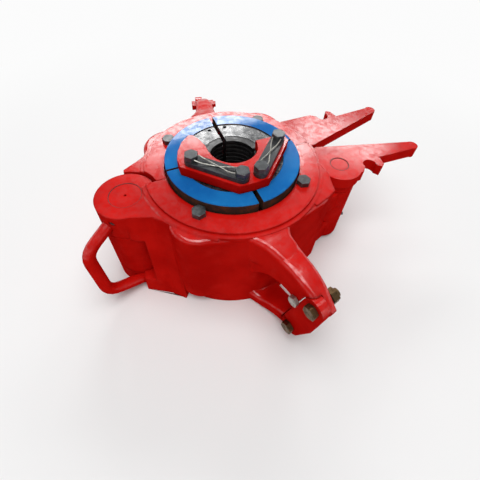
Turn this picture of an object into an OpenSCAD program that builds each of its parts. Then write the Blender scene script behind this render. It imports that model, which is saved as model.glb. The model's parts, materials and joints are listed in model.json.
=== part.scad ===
// Wedge-type centre-latch drill pipe elevator, all lengths in millimetres.
// The bore axis is Z and the base face Z = 0; the latch lies on +X and the front half on -Y.

/* [Body castings] */
// Height of the machined top face above the base
body_h = 240; // [220:1:260]
// Radius of the machined top face
boss_r = 181; // [176:1:184]
// Step from the top face down to the cast shoulder
boss_step = 5; // [3:1:8]
// Outside radius of the cast drum
drum_r = 189; // [186:1:194]
// Gap between the two halves at the parting plane
part_gap = 1; // [0.6:0.1:2]
// Radius of the cast lobes round the top screws
lobe_r = 57; // [52:1:60]
// Distance of the lobe centres from the bore axis
lobe_centre_r = 152; // [150:1:156]
// Drop of the lobe tops below the machined face
lobe_drop = 8; // [6:1:14]
// Level of the underside of the cast lobes
lobe_foot = 25; // [10:1:40]
// Rounding of the cast edges
cast_round = 9; // [4:1:14]
// Radius of the throat below the slips
throat_r = 75; // [65:1:80]
// Height of the throat
throat_h = 30; // [24:1:36]

/* [Slip bowl] */
// Radius of the tapered bowl at its upper edge
bowl_top_r = 122; // [118:1:124]
// Half angle of the bowl's taper in degrees
bowl_taper = 9.46; // [8:0.01:11]
// Radius of the counterbore round the slip flange
counterbore_r = 140.5; // [139:0.5:143]
// Depth of that counterbore
counterbore_depth = 23; // [22:1:28]
// Distance of the top screws from the edge of the counterbore
screw_land = 11.5; // [11:0.5:20]
// Radius of a lift spring pocket
pocket_r = 7.5; // [7:0.5:8]
// Depth of a lift spring pocket
pocket_depth = 42; // [30:1:60]

/* [Slips] */
// Outside radius of the slip flange
flange_r = 137.5; // [136:0.5:138]
// Inside radius of the slip flange
flange_in_r = 104; // [98:1:108]
// Thickness of the slip flange
flange_h = 26; // [25:1:30]
// Height of the flange top above the machined face, slips raised
flange_proud = 20; // [18:1:24]
// Travel of a slip along the bowl's taper
slip_travel = 15; // [10:1:16]
// Running gap between a slip's back and the bowl
slip_clear = 0.5; // [0.4:0.1:0.8]
// Gap between two slips at the parting plane
slip_gap_part = 4.6; // [4.4:0.1:6]
// Gap between two slips of one half
slip_gap_mid = 9; // [7:0.5:11]
// Radius of the raised die bore
pipe_r = 47; // [44:0.5:49]
// Thickness of a die
die_t = 15; // [12:1:18]
// Half angle that a die covers, in degrees
die_half_angle = 40; // [34:1:41]
// Height of one die tooth land
tooth_land = 7; // [5:1:10]
// Height of the groove between two tooth lands
tooth_groove = 4; // [2:0.5:5]

/* [Hinge] */
// Distance of the hinge pin from the bore axis, along -X
hinge_x = 222; // [218:1:226]
// Offset of the hinge pin into the front half
hinge_y = 8; // [4:1:12]
// Radius of the hinge pin
hinge_pin_r = 31; // [26:1:34]
// Outside radius of the hinge knuckles
knuckle_r = 57; // [54:1:60]
// Height of the hinge top above the base
hinge_h = 232; // [226:1:234]
// Level where the lower knuckle ends
knuckle_low = 40; // [34:1:60]
// Level where the upper knuckle starts
knuckle_high = 170; // [160:1:184]
// Distance of the pocket's end wall from the hinge axis, towards the latch
pocket_end = 12; // [6:1:20]
// Clearance round a knuckle in the other half
knuckle_clear = 6; // [4:1:8]

/* [Latch] */
// Distance of the latch pin from the bore axis along +X
latch_x = 225; // [224:1:228]
// Offset of the latch pin into the front half
latch_y = 72; // [70:1:74]
// Radius of the latch pin
latch_pin_r = 20; // [16:1:22]
// Radius of the latch lugs round the pin
latch_lug_r = 45; // [40:1:46]
// Level of the underside of the latch head
latch_head_z = 176; // [170:1:182]
// Level of the underside of the upper body lug
latch_lug_z = 126; // [118:1:134]
// Level of the underside of the hook arm
latch_arm_z = 70; // [60:1:80]
// Level of the underside of the lower body lug
latch_foot_z = 10; // [4:1:20]
// Depth that the hook takes behind the catch
hook_bite = 6; // [5:0.5:7]
// Play between the hook and the catch, square to their faces
hook_play = 7; // [6.5:0.1:8]

/* [Horns] */
// Level of the horn tops
horn_top = 222; // [216:1:226]
// Thickness of the horns
horn_t = 27; // [22:1:30]
// Distance of the horn ends from the bore axis along +X
horn_reach = 428; // [400:1:440]
// Angle between a horn's inner edge and the parting plane
horn_angle = 15.2; // [14:0.1:17]
// Radius of the rounded horn end
horn_end_r = 13; // [10:1:15]
// Distance of the horn shoulder from the parting plane
horn_shoulder = 111; // [106:1:114]

/* [Ears] */
// Tilt of the ears towards the latch, in degrees
ear_tilt = 12; // [9:0.5:14]
// Half width of an ear at its straight stretch
ear_half_w = 22; // [20:1:24]
// Rounding of the ear's edges
ear_round = 11; // [6:1:14]
// Level of the ear's top
ear_top = 219; // [214:1:224]
// Level of the top of the link window
window_top = 147; // [142:1:150]
// Distance of the upper link block bolt from the bore axis
block_bolt_s = 316; // [312:1:320]
// Level of the upper link block bolt
block_bolt_z = 179; // [176:1:182]
// Distance of the lower link block bolt from the bore axis
lock_bolt_s = 288; // [284:1:292]
// Level of the lower link block bolt
lock_bolt_z = 45; // [42:1:48]
// Radius of the link block's ends
block_r = 22; // [18:1:23]
// Thickness of a link block
block_t = 18; // [14:1:20]
// Gap between lapped faces of a link block and its ear
lap_gap = 1; // [0.6:0.1:2]

/* [Carry handle] */
// Diameter of the handle bar
handle_d = 24; // [18:1:26]

/* [Setting plate] */
// Thickness of the setting plate
plate_t = 21; // [18:1:24]
// Inside radius of the plate's mouth
mouth_r = 50; // [49:1:56]
// Distance of the plate's slanted edges from the bore axis
plate_edge = 96; // [94:1:100]
// Radius of the bolt circle of the straps
strap_bolt_r = 92.5; // [90:0.5:94]
// Angle between a strap's bolts, seen from the bore axis
strap_spread = 67; // [60:1:70]
// Width of a strap
strap_w = 27; // [24:1:30]
// Thickness of a strap
strap_t = 10; // [6:1:12]

/* [Fasteners] */
// Thread diameter of the hexagon screws
screw_d = 16; // [14:1:18]
// Width across flats of the hexagon heads
screw_af = 24; // [22:1:26]
// Height of the hexagon heads
screw_head = 11; // [9:1:13]
// Diameter of the lock wire
wire_d = 2.4; // [1.8:0.1:3]

/* [Hidden] */
$fn = 96;
SIDES = ["front_left", "front_right", "back_left", "back_right"];

RED = [0.78, 0.09, 0.09];
BLUE = [0.09, 0.38, 0.70];
BLACK = [0.12, 0.12, 0.13];
STEEL = [0.45, 0.46, 0.48];
ZINC = [0.55, 0.52, 0.36];

// Small overlap that lets a cut pass clean through a face.
eps = 1;
// Size of the blocks that cut halves and quarters.
far = 1000;
// Reach of a cut across an ear.
ear_reach = 100;
// Radial running clearance of a pin in its bore.
run_fit = 0.05;
// Clearance of a fixed piece in its seat.
seat_fit = 0.1;
// Gap between stacked faces that slide on each other.
face_gap = 0.5;

half_gap = part_gap / 2;
shoulder_h = body_h - boss_step;
lobe_h = body_h - lobe_drop;
flange_top = body_h + flange_proud;
flange_z = flange_top - flange_h;
bowl_top = body_h - counterbore_depth;
bowl_low_r = bowl_top_r - (bowl_top - throat_h) * tan(bowl_taper);
wedge_drop = 2;
wedge_top = flange_top - wedge_drop;
wedge_floor_gap = 6;
lift_z = slip_travel * cos(bowl_taper);
lift_r = slip_travel * sin(bowl_taper);
wedge_low = throat_h + wedge_floor_gap;
quadrant = 90;
slip_mid_angle = [for (q = [0 : 3]) 45 + quadrant * q];
hinge_pos = [-hinge_x, -hinge_y, 0];
latch_pos = [latch_x, -latch_y, 0];
pocket_turn = 20;
pocket_pcr = (bowl_top_r + counterbore_r) / 2;
thread_r = screw_d / 2;
screw_circle_r = counterbore_r + screw_land;
top_screw_l = 40;
thread_spare = 4;
die_foot = 62;
die_drop = 1;
die_seat_turn = 0.15;
wedge_relief = 4;
handle_path = [[-258, -34, 200], [-316, -69, 168], [-308, -86, 46], [-221, -62, 16]];

// Walls beside the hinge: where they start, their lean and where they meet the lobes.
front_wall_start = 12;
front_wall_out = 26;
front_wall_end = lobe_centre_r + 8;
back_wall_start = 8;
back_wall_out = 6;
back_wall_end = lobe_centre_r - 12;

// Groove in the hinge pin and the lock screw that enters it.
lock_groove_z = hinge_h - 27;
lock_groove_h = 16;
lock_groove_depth = 4;
lock_screw_r = 6;
lock_screw_turn = 232;

// Inner corner of a horn beside the parting plane.
horn_root = [boss_r + 22, 4];

// Latch: sweep radius of its head, slope and corner of the catch, keeper of its pin.
latch_swing_r = 49;
hook_slope = 30;
catch_bury = 20;
catch_reach = 20;
catch_x = 243;
catch_y = 24;
catch_top_y = catch_y + (catch_x - latch_x) * tan(hook_slope);
catch_z = latch_arm_z - catch_reach;
catch_h = 90;
lug_lap = 0.5;
keeper_r = 5;
keeper_l = 42;
keeper_z = 40;
keeper_turn = -15;
keeper_depth = 4;

// Straps on the front slips: their angles, thread depth and levels.
strap_mid = [225, 315];
strap_thread = 30;
plate_z = flange_top + face_gap;
strap_z = plate_z + plate_t + face_gap / 2;

// Ear along its distance s from the bore axis: root, straight stretch, fall of the top and nose.
ear_base = 150;
ear_run = 262;
ear_flare = [38, 18];
flare_power = 1.7;
ear_tip = block_bolt_s + block_r;
ear_fall = 35;
fall_start = 240;
fall_power = 2.2;
window_foot = 20;
window_run = 250;
window_power = 3.4;
nose_start = 300;
nose_rise = 24;
tip_narrow = 9;
ear_bolt_s = 281;
ear_bolt_z = window_top + 9;
ear_bolt_r = 6;

// Bolts across an ear: thickness of head and nut as shares of the thread, and seats of the nuts.
head_share = 0.65;
nut_share = 0.8;
nose_nut_x = ear_half_w - 4;
lug_nut_x = ear_half_w - 2;

// Lower lug of the ear: its waist, the slope of its top and the rise of its underside.
lug_tip = lock_bolt_s + block_r;
lug_waist = 205;
lug_waist_z = 31;
lug_root = 29;
lug_slope = 0.5;
lug_cap = 19;
lug_cap_fall = 10;
lug_under = 215;
lug_under_rise = 40;

// Bolts of a link block as distance and level, the block's direction and its outward normal.
block_up = [block_bolt_s, block_bolt_z];
block_low = [lock_bolt_s, lock_bolt_z];
block_len = norm(block_up - block_low);
block_d = (block_up - block_low) / block_len;
block_n = [block_d[1], -block_d[0]];

// Ring of points on a rounded rectangle, given as left, right, low, high and corner radius.
function round_ring(left, right, low, high, r, steps = 4) = [
    for (c = [0 : 3])
        let (cx = (c == 0 || c == 3) ? right - r : -left + r)
        let (cz = c < 2 ? high - r : low + r)
            for (k = [0 : steps])
                let (a = quadrant * (c + k / steps))
                    [cx + r * cos(a), cz + r * sin(a)]
];

// Ring of a round bar at p, square to the direction d; ref is a direction that the bar never takes.
function bar_ring(p, d, r, sides, ref) =
    let (t = d / norm(d))
    let (side = cross(t, ref))
    let (a = side / norm(side))
    let (b = cross(t, a))
        [for (k = [0 : sides - 1]) p + r * (a * cos(360 * k / sides) + b * sin(360 * k / sides))];

// Point of a plane at a turn and a distance from the origin.
function ray(turn, r) = r * [cos(turn), sin(turn)];

// Points of an arc round p in a plane, from one turn to another.
function arc(p, r, from, to, steps) = [for (k = [0 : steps]) p + ray(from + (to - from) * k / steps, r)];

// Direction of a path at its point i.
function path_dir(path, i) = path[min(i + 1, len(path) - 1)] - path[max(i - 1, 0)];

// Point at a distance from one point towards another.
function towards(from, to, distance) = from + (to - from) * distance / norm(to - from);

// Path whose inner corners are rounded over a run on both sides.
function round_path(path, run, steps) = concat([path[0]], [
    for (i = [1 : len(path) - 2])
        let (a = towards(path[i], path[i - 1], run))
        let (b = towards(path[i], path[i + 1], run))
            for (k = [0 : steps])
                let (t = k / steps)
                    (1 - t) * (1 - t) * a + 2 * t * (1 - t) * path[i] + t * t * b
], [path[len(path) - 1]]);

// Points of a helix from z0 upwards.
function helix(r, z0, height, turns, steps) = [
    for (k = [0 : turns * steps])
        [r * cos(360 * k / steps), r * sin(360 * k / steps), z0 + height * k / (turns * steps)]
];

// Solid through a list of rings with equal point counts.
module loft(rings) {
    n = len(rings[0]);
    m = len(rings);
    points = [for (ring = rings) for (p = ring) p];
    walls = [
        for (i = [0 : m - 2])
            for (k = [0 : n - 1])
                let (a = i * n + k)
                let (b = i * n + (k + 1) % n)
                    each [[b, a, a + n], [b + n, b, a + n]]
    ];
    caps = [[for (k = [0 : n - 1]) k], [for (k = [n - 1 : -1 : 0]) (m - 1) * n + k]];
    polyhedron(points, concat(walls, caps), convexity = 6);
}

// Round bar along a path.
module bar(path, r, sides = 8, ref = [0, 0, 1]) {
    loft([for (i = [0 : len(path) - 1]) bar_ring(path[i], path_dir(path, i), r, sides, ref)]);
}

// Round bar between two points with true round faces.
module rod(a, b, r) {
    d = b - a;
    translate(a)
        rotate([0, acos(d[2] / norm(d)), atan2(d[1], d[0])])
            cylinder(r = r, h = norm(d));
}

// Everything on one side of the parting plane: side -1 is the front, +1 the back.
module half_space(side) {
    translate([-far, side > 0 ? half_gap : -far - half_gap, -far])
        cube([2 * far, far, 2 * far]);
}

// Cylinder between two levels on a vertical axis.
module level(pos, r, z0, z1) {
    translate([pos[0], pos[1], z0])
        cylinder(r = r, h = z1 - z0);
}

// Hexagon screw with its head's seat at Z = 0 and its shank downwards.
module hex_screw(length, d = screw_d, af = screw_af, head = screw_head) {
    chamfer = head / 6;
    intersection() {
        cylinder(d = af / cos(30), h = head, $fn = 6);
        rotate_extrude()
            polygon([[0, 0], [af, 0], [af, head - 2 * chamfer], [af / 2, head], [0, head]]);
    }
    translate([0, 0, -length])
        cylinder(d = d, h = length + eps);
}

// Cast lobe with a rounded upper edge.
module lobe() {
    rotate_extrude() {
        translate([0, lobe_foot])
            square([lobe_r, lobe_h - cast_round - lobe_foot]);
        translate([0, lobe_foot])
            square([lobe_r - cast_round, lobe_h - lobe_foot]);
        translate([lobe_r - cast_round, lobe_h - cast_round])
            circle(r = cast_round, $fn = 48);
    }
}

// Drafted wall that joins the hinge to a lobe, wider at the base than at the top.
// It starts beside the hinge axis, leans out by base_out and ends beside the lobe's axis.
module hinge_wall(start, base_out, lobe_x) {
    neck = 53;
    belly = 72;
    belly_x = drum_r - 8;
    belly_draft = 1.5;
    lobe_draft = 1.2;
    inner = 60;
    rows = [[0, base_out], [hinge_h, 0]];
    loft([
        for (r = rows)
            [
                [-hinge_x + start, -hinge_y - neck - r[1], r[0]],
                [-belly_x, -hinge_y - belly - r[1] * belly_draft, r[0]],
                [-lobe_x, -lobe_centre_r * sin(45) - r[1] * lobe_draft, r[0]],
                [-lobe_centre_r * cos(45), -inner, r[0]],
                [-hinge_x, -hinge_y, r[0]]
            ]
    ]);
}

// Top profile of the slip bowl, swept as one cut.
module bowl_cut() {
    rim = max(body_h, hinge_h) + eps;
    rotate_extrude()
        polygon([
            [0, -eps], [throat_r, -eps], [throat_r, throat_h], [bowl_low_r, throat_h],
            [bowl_top_r, bowl_top], [counterbore_r, bowl_top], [counterbore_r, rim], [0, rim]
        ]);
}

// Places children at every lift spring of the slip whose middle lies at angle a.
module at_springs(a) {
    for (side = [-1, 1])
        rotate([0, 0, a + side * pocket_turn])
            translate([pocket_pcr, 0, 0])
                children();
}

// Places children on an ear: X across it, -Y outwards from the bore axis.
module at_ear(side) {
    mirror([0, side > 0 ? 1 : 0, 0])
        translate([0, -ear_base, 0])
            rotate([0, 0, ear_tilt])
                translate([0, ear_base, 0])
                    children();
}

// One bar of an ear from rows of distance, left, right, low and high.
module ear_bar(rows) {
    corner_share = 2.2;
    loft([
        for (r = rows)
            let (corner = min(ear_round, (r[4] - r[3]) / corner_share, (r[1] + r[2]) / corner_share))
                [for (p = round_ring(r[1], r[2], r[3], r[4], corner)) [p[0], -r[0], p[1]]]
    ]);
}

// Share of the run between two distances, 0 before its start, raised to a power.
function rise(s, from, to, power) = pow(max(0, (s - from) / (to - from)), power);

// Half width of an ear at s: flared at its root and narrowed at its tip; side 0 is the hinge side.
function ear_w(s, side, tip) =
    ear_half_w + ear_flare[side] * rise(s, ear_run, ear_base, flare_power)
    - tip_narrow * rise(s, ear_run, tip, 2);

// Levels of an ear's top, of the window's top, and of the lower lug.
function ear_high(s) = ear_top - ear_fall * rise(s, fall_start, ear_tip, fall_power);
function ear_low(s) =
    window_top - (window_top - window_foot) * rise(s, window_run, ear_base, window_power)
    + nose_rise * rise(s, nose_start, ear_tip, 2);
function lug_high(s) =
    min(lug_waist_z + lug_root * rise(s, lug_waist, ear_base, 2) + lug_slope * max(0, s - lug_waist),
        lock_bolt_z + lug_cap - lug_cap_fall * rise(s, lock_bolt_s, lug_tip, 1));
function lug_low(s) = lug_under_rise * rise(s, lug_under, lug_tip, 1);

// Lifting ear with its link window, in the ear's own place.
module ear() {
    rows = 14;
    upper = [for (k = [0 : rows]) ear_base + (ear_tip - ear_base) * k / rows];
    lower = [for (k = [0 : rows]) ear_base + (lug_tip - ear_base) * k / rows];
    ear_bar([for (s = upper) [s, ear_w(s, 0, ear_tip), ear_w(s, 1, ear_tip), ear_low(s), ear_high(s)]]);
    ear_bar([for (s = lower) [s, ear_w(s, 0, lug_tip), ear_w(s, 1, lug_tip), lug_low(s), lug_high(s)]]);
}

// Stands a drawing of distance and level on the hinge side of an ear's middle.
module beside_ear(t) {
    rotate([0, 0, 180])
        rotate([90, 0, 90])
            linear_extrude(t)
                children();
}

// Room in which a link block rests and swings outwards.
module block_space() {
    room = block_r + 2 * lap_gap;
    swing_room = 4 * room;
    for (p = [block_up, block_low])
        translate(p)
            circle(r = room);
    polygon([
        block_up - block_n * room, block_low - block_n * room,
        block_low + block_n * swing_room, block_up + block_n * swing_room
    ]);
}

// Cylinder across an ear at distance s and level z.
module across_ear(s, z, r) {
    translate([-ear_reach, -s, z])
        rotate([0, 90, 0])
            cylinder(r = r, h = 2 * ear_reach);
}

// Room for the link block and its bolts in an ear.
module ear_cut() {
    beside_ear(ear_reach)
        block_space();
    for (b = [block_up, block_low])
        across_ear(b[0], b[1], thread_r + run_fit);
    across_ear(ear_bolt_s, ear_bolt_z, ear_bolt_r + run_fit);
    nut_seat(block_up, nose_nut_x);
    nut_seat(block_low, lug_nut_x);
}

// Spot face for a nut on the latch side of an ear.
module nut_seat(at, nut_x) {
    room = screw_af / 2 / cos(30) + lap_gap;
    translate([nut_x - seat_fit, -at[0], at[1]])
        rotate([0, 90, 0])
            cylinder(r = room, h = ear_reach);
}

// Outline of one horn on the +Y side, from the parting plane's V to the rounded end.
module horn_outline() {
    end_y = horn_root[1] + (horn_reach - horn_root[0]) * tan(horn_angle) + horn_end_r;
    end_taper = 2;
    waist = [horn_root[0] + 121, horn_shoulder - 27];
    hook_x = horn_root[0] + 107;
    hook_w = 10;
    hook = [[hook_x + hook_w, horn_shoulder - 4], [hook_x, horn_shoulder + 2]];
    corner_x = horn_root[0] + 59;
    corner_w = 10;
    corner = [[corner_x + corner_w, horn_shoulder - corner_w], [corner_x, horn_shoulder]];
    notch = [horn_root[0] + 87, waist[1]];
    notch_r = 15;
    notch_centre = notch + [-1, notch_r - 2];
    difference() {
        union() {
            polygon(concat(
                [horn_root, [horn_reach, end_y - horn_end_r], [horn_reach, end_y + horn_end_r - end_taper]],
                [waist], hook, [notch], corner, [[horn_root[0], horn_shoulder]]));
            translate([horn_reach, end_y])
                circle(r = horn_end_r);
        }
        translate(notch_centre)
            circle(r = notch_r);
    }
}

// Wall of the back half under the horn's shoulder, and the horn's own root.
module horn_wall_outline() {
    wall_in = [120, 60];
    wall_bend = [160, 75];
    wall_out = [latch_x + 10, 78];
    polygon([
        wall_in, wall_bend, wall_out, [wall_out[0], horn_shoulder], [wall_in[0], horn_shoulder]
    ]);
}

module horn_root_outline() {
    lap = 1;
    end_x = horn_root[0] + lap;
    polygon([
        [boss_r - catch_bury, half_gap], [end_x, horn_root[1]], [end_x, horn_shoulder - lap],
        [boss_r - 3 * catch_bury, horn_shoulder - lap]
    ]);
}

// Catch on the back half that the latch hook goes behind.
module catch_outline() {
    polygon([
        [boss_r - catch_bury, half_gap], [catch_x, half_gap], [catch_x, catch_y],
        [latch_x, catch_top_y], [boss_r - catch_bury, catch_top_y]
    ]);
}

// Hook arm of the latch in plan.
module hook_outline() {
    face = [catch_x + hook_play * sin(hook_slope), catch_y + hook_play * cos(hook_slope)];
    arm_in = catch_x + hook_play;
    arm_w = 28;
    arm_out = arm_in + arm_w;
    corner = 8;
    lap = 1;
    nose_x = catch_x - hook_bite;
    function face_y(x) = face[1] + (face[0] - x) * tan(hook_slope);
    nose_y = face_y(nose_x) + arm_w;
    polygon([
        [latch_x, -latch_y - latch_lug_r + lap], [arm_out, -latch_y], [arm_out, nose_y - corner],
        [arm_out - corner, nose_y], [nose_x, nose_y], [nose_x, face_y(nose_x)], [arm_in, face_y(arm_in)],
        [arm_in, -latch_y + latch_lug_r / 2], [latch_x, -latch_y + latch_lug_r - lap]
    ]);
}

// Web from the drum to a latch lug of the front half, tangent to the lug on both sides.
module latch_lug_web() {
    root_x = boss_r - 30;
    root_in = 25;
    root_out = latch_y + 62;
    tangent_in = ray(136, latch_lug_r - lug_lap);
    tangent_out = ray(250, latch_lug_r - lug_lap);
    centre = [latch_x, -latch_y];
    polygon([[root_x, -root_in], centre + tangent_in, centre, centre + tangent_out, [root_x, -root_out]]);
}

// Corner block of the front half beside the latch.
module latch_shoulder() {
    rise = 2;
    face_x = 176;
    face_end = 96;
    corner = [[161, -143], [139, -153], [107, -163]];
    bury = [[90, -120], [120, -60]];
    linear_extrude(lobe_h + rise)
        polygon(concat(bury, [[face_x, bury[1][1]], [face_x, -face_end]], corner));
}

// Cast outline that both halves share: drum, lobes, ear and hinge side.
module half_casting(side) {
    intersection() {
        union() {
            cylinder(r = boss_r, h = body_h);
            cylinder(r = drum_r, h = shoulder_h);
            for (a = [45, 135])
                rotate([0, 0, side * a])
                    translate([lobe_centre_r, 0, 0])
                        lobe();
        }
        half_space(side);
    }
    at_ear(side)
        ear();
}

// Cuts that both halves share: bowl, spring pockets and screw holes.
module shared_cuts() {
    bowl_cut();
    for (a = slip_mid_angle) {
        at_springs(a)
            translate([0, 0, bowl_top - pocket_depth])
                cylinder(r = pocket_r, h = pocket_depth + eps);
        rotate([0, 0, a])
            translate([screw_circle_r, 0, body_h - top_screw_l - eps])
                cylinder(r = thread_r + seat_fit, h = top_screw_l + 2 * eps);
    }
}

module front_body_half() {
    color(RED) difference() {
        union() {
            half_casting(-1);
            intersection() {
                hinge_wall(-front_wall_start, front_wall_out, front_wall_end);
                half_space(-1);
            }
            latch_shoulder();
            level(hinge_pos, knuckle_r, 0, hinge_h);
            for (z = [[latch_foot_z, latch_arm_z], [latch_lug_z, latch_head_z]]) {
                level(latch_pos, latch_lug_r, z[0], z[1] - face_gap);
                translate([0, 0, z[0]])
                    linear_extrude(z[1] - z[0] - face_gap)
                        latch_lug_web();
            }
        }
        shared_cuts();
        at_ear(-1)
            ear_cut();
        level(hinge_pos, knuckle_r + knuckle_clear / 3, knuckle_low, knuckle_high);
        hinge_pocket();
        level(hinge_pos, hinge_pin_r + run_fit, -eps, hinge_h + eps);
        level(latch_pos, latch_pin_r + run_fit, -eps, body_h);
        level(latch_pos, latch_lug_r + 2 * eps, latch_arm_z - face_gap, latch_lug_z);
        level(latch_pos, latch_swing_r + 2 * eps, latch_head_z - face_gap, body_h + eps);
        lock_screw_place()
            cylinder(r = lock_screw_r + seat_fit, h = knuckle_r * 2);
        keeper_place()
            cylinder(r = keeper_r + seat_fit, h = keeper_l + eps);
        handle_ends(seat_fit);
    }
}

module back_body_half() {
    color(RED) difference() {
        union() {
            half_casting(1);
            intersection() {
                mirror([0, 1, 0])
                    hinge_wall(back_wall_start, back_wall_out, back_wall_end);
                half_space(1);
            }
            level(hinge_pos, knuckle_r, knuckle_low + face_gap, knuckle_high - face_gap);
            translate([0, 0, horn_top - horn_t])
                linear_extrude(horn_t)
                    horn_outline();
            translate([0, 0, catch_z])
                linear_extrude(horn_top - catch_z)
                    horn_wall_outline();
            translate([0, 0, horn_top - horn_t])
                linear_extrude(horn_t)
                    horn_root_outline();
            translate([0, 0, catch_z])
                linear_extrude(catch_h)
                    catch_outline();
        }
        shared_cuts();
        at_ear(1)
            ear_cut();
        for (z = [[-eps, knuckle_low], [knuckle_high, body_h + eps]])
            level(hinge_pos, knuckle_r + knuckle_clear, z[0], z[1]);
        level(hinge_pos, hinge_pin_r + run_fit, -eps, hinge_h + eps);
    }
}

// Pocket in the front half's wall that shows the knuckle of the back half.
module hinge_pocket() {
    reach = 2 * knuckle_r;
    translate([-hinge_x - reach, -hinge_y - knuckle_r - reach, knuckle_low])
        cube([reach + pocket_end, reach + 2 * knuckle_clear, knuckle_high - knuckle_low]);
}

// Axis of the lock screw, from the pin's groove outwards.
module lock_screw_place() {
    translate([hinge_pos[0], hinge_pos[1], lock_groove_z + lock_groove_h / 2])
        rotate([0, 90, lock_screw_turn])
            translate([0, 0, hinge_pin_r - lock_groove_depth + seat_fit])
                children();
}

module hinge_pin() {
    recess = 1;
    foot = 4;
    dimple_r = 2.5;
    dimple_depth = 6;
    color(RED) difference() {
        level(hinge_pos, hinge_pin_r, foot, hinge_h - recess);
        level(hinge_pos, dimple_r, hinge_h - recess - dimple_depth, hinge_h);
        difference() {
            level(hinge_pos, hinge_pin_r + eps, lock_groove_z, lock_groove_z + lock_groove_h);
            level(hinge_pos, hinge_pin_r - lock_groove_depth, lock_groove_z, lock_groove_z + lock_groove_h);
        }
    }
}

module hinge_pin_lock_screw() {
    sunk = 3;
    length = knuckle_r - hinge_pin_r + lock_groove_depth - sunk;
    hex_r = 3.5;
    hex_depth = 6;
    color(BLACK) lock_screw_place()
        difference() {
            cylinder(r = lock_screw_r, h = length);
            translate([0, 0, length - hex_depth])
                cylinder(r = hex_r, h = hex_depth + eps, $fn = 6);
        }
}

// Buried ends of the handle bar.
module handle_ends(clear) {
    rod(handle_path[0], handle_path[1], handle_d / 2 + clear);
    rod(handle_path[3], handle_path[2], handle_d / 2 + clear);
}

module carry_handle() {
    bend = 26;
    bend_steps = 5;
    bar_sides = 24;
    flat = cross(handle_path[1] - handle_path[0], handle_path[2] - handle_path[1]);
    color(RED)
        bar(round_path(handle_path, bend, bend_steps), handle_d / 2, bar_sides, flat);
}

// Sector of a ring round the latch pin that ties the latch head to the hook arm.
module latch_tie() {
    inner = latch_lug_r + 2;
    outer = inner + 20;
    turns = [5, 45];
    translate([latch_x, -latch_y])
        difference() {
            intersection() {
                circle(r = outer);
                polygon([[0, 0], ray(turns[0], 2 * outer), ray(turns[1], 2 * outer)]);
            }
            circle(r = inner);
        }
}

// Head of the latch in plan: the horn, the boss round the pin and the nose of the V.
module latch_head_outline() {
    trim_x = latch_x - 20;
    nose = [[trim_x, -8], [boss_r + 14, -4], [boss_r + 9, -latch_y + 28], [trim_x, -latch_y]];
    mirror([0, 1])
        difference() {
            horn_outline();
            polygon([[0, 0], [trim_x, 0], [trim_x, far], [0, far]]);
        }
    polygon(nose);
    translate([latch_x, -latch_y])
        circle(r = latch_swing_r);
}

module latch() {
    spring_room = 21;
    spring_room_r = 32;
    color(RED) difference() {
        union() {
            translate([0, 0, horn_top - horn_t])
                linear_extrude(horn_t)
                    latch_head_outline();
            level(latch_pos, latch_lug_r, latch_head_z, horn_top - horn_t + eps);
            translate([0, 0, latch_arm_z])
                linear_extrude(horn_top - horn_t + eps - latch_arm_z)
                    latch_tie();
            level(latch_pos, latch_lug_r, latch_arm_z, latch_lug_z - face_gap);
            translate([0, 0, latch_arm_z])
                linear_extrude(latch_lug_z - latch_arm_z - face_gap)
                    hook_outline();
        }
        level(latch_pos, latch_pin_r + run_fit, 0, horn_top + eps);
        level(latch_pos, spring_room_r, latch_arm_z - eps, latch_arm_z + spring_room);
    }
}

// Axis of the latch pin's keeper, outwards from the pin.
module keeper_place() {
    translate([latch_x, -latch_y, keeper_z])
        rotate([0, 90, keeper_turn])
            translate([0, 0, latch_pin_r - keeper_depth])
                children();
}

module latch_pin() {
    recess = 1;
    color(RED) difference() {
        level(latch_pos, latch_pin_r, latch_foot_z + recess, horn_top - recess);
        keeper_place()
            cylinder(r = keeper_r + seat_fit, h = keeper_l);
    }
}

module latch_pin_keeper() {
    color(BLACK) keeper_place()
        translate([0, 0, seat_fit])
            cylinder(r = keeper_r, h = keeper_l);
}

module latch_spring() {
    coil_r = 26;
    wire_r = 2.2;
    coil_h = 15;
    turns = 3;
    steps = 20;
    lift = latch_arm_z - face_gap + wire_r + seat_fit;
    color(STEEL) translate(latch_pos)
        bar(helix(coil_r, lift, coil_h, turns, steps), wire_r);
}

// One quarter of the slip ring, between the parting gap and the gap in the middle of a half.
module slip_quarter(q) {
    front = q >= 2;
    left = q == 1 || q == 2;
    mirror([0, front ? 1 : 0, 0])
        mirror([left ? 1 : 0, 0, 0])
            translate([slip_gap_mid / 2, slip_gap_part / 2, -far])
                cube([far, far, 2 * far]);
}

// Blue flange segment of a slip.
module slip_flange(q) {
    edge = 1.5;
    color(BLUE) intersection() {
        rotate_extrude()
            polygon([
                [flange_in_r, flange_z], [flange_r, flange_z], [flange_r, flange_top - edge],
                [flange_r - edge, flange_top], [flange_in_r, flange_top]
            ]);
        slip_quarter(q);
    }
}

// Profile of a wedge's back when the slip is set.
module wedge_profile() {
    back_r = bowl_top_r - slip_clear;
    foot_r = back_r - (bowl_top - wedge_low) * tan(bowl_taper);
    polygon([
        [0, wedge_low], [foot_r, wedge_low], [back_r, bowl_top],
        [back_r, flange_z - lift_z], [0, flange_z - lift_z]
    ]);
}

// Tapped eye in a back slip, beside the gap in the middle of its half.
module lifting_eye(q) {
    eye_r = 4;
    eye_turn = 34;
    eye_centre_r = 95;
    eye_depth = 20;
    if (q < 2)
        rotate([0, 0, slip_mid_angle[q] + (1 - 2 * q) * eye_turn])
            translate([eye_centre_r, 0, wedge_top - eye_depth])
                cylinder(r = eye_r, h = eye_depth + eps);
}

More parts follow.
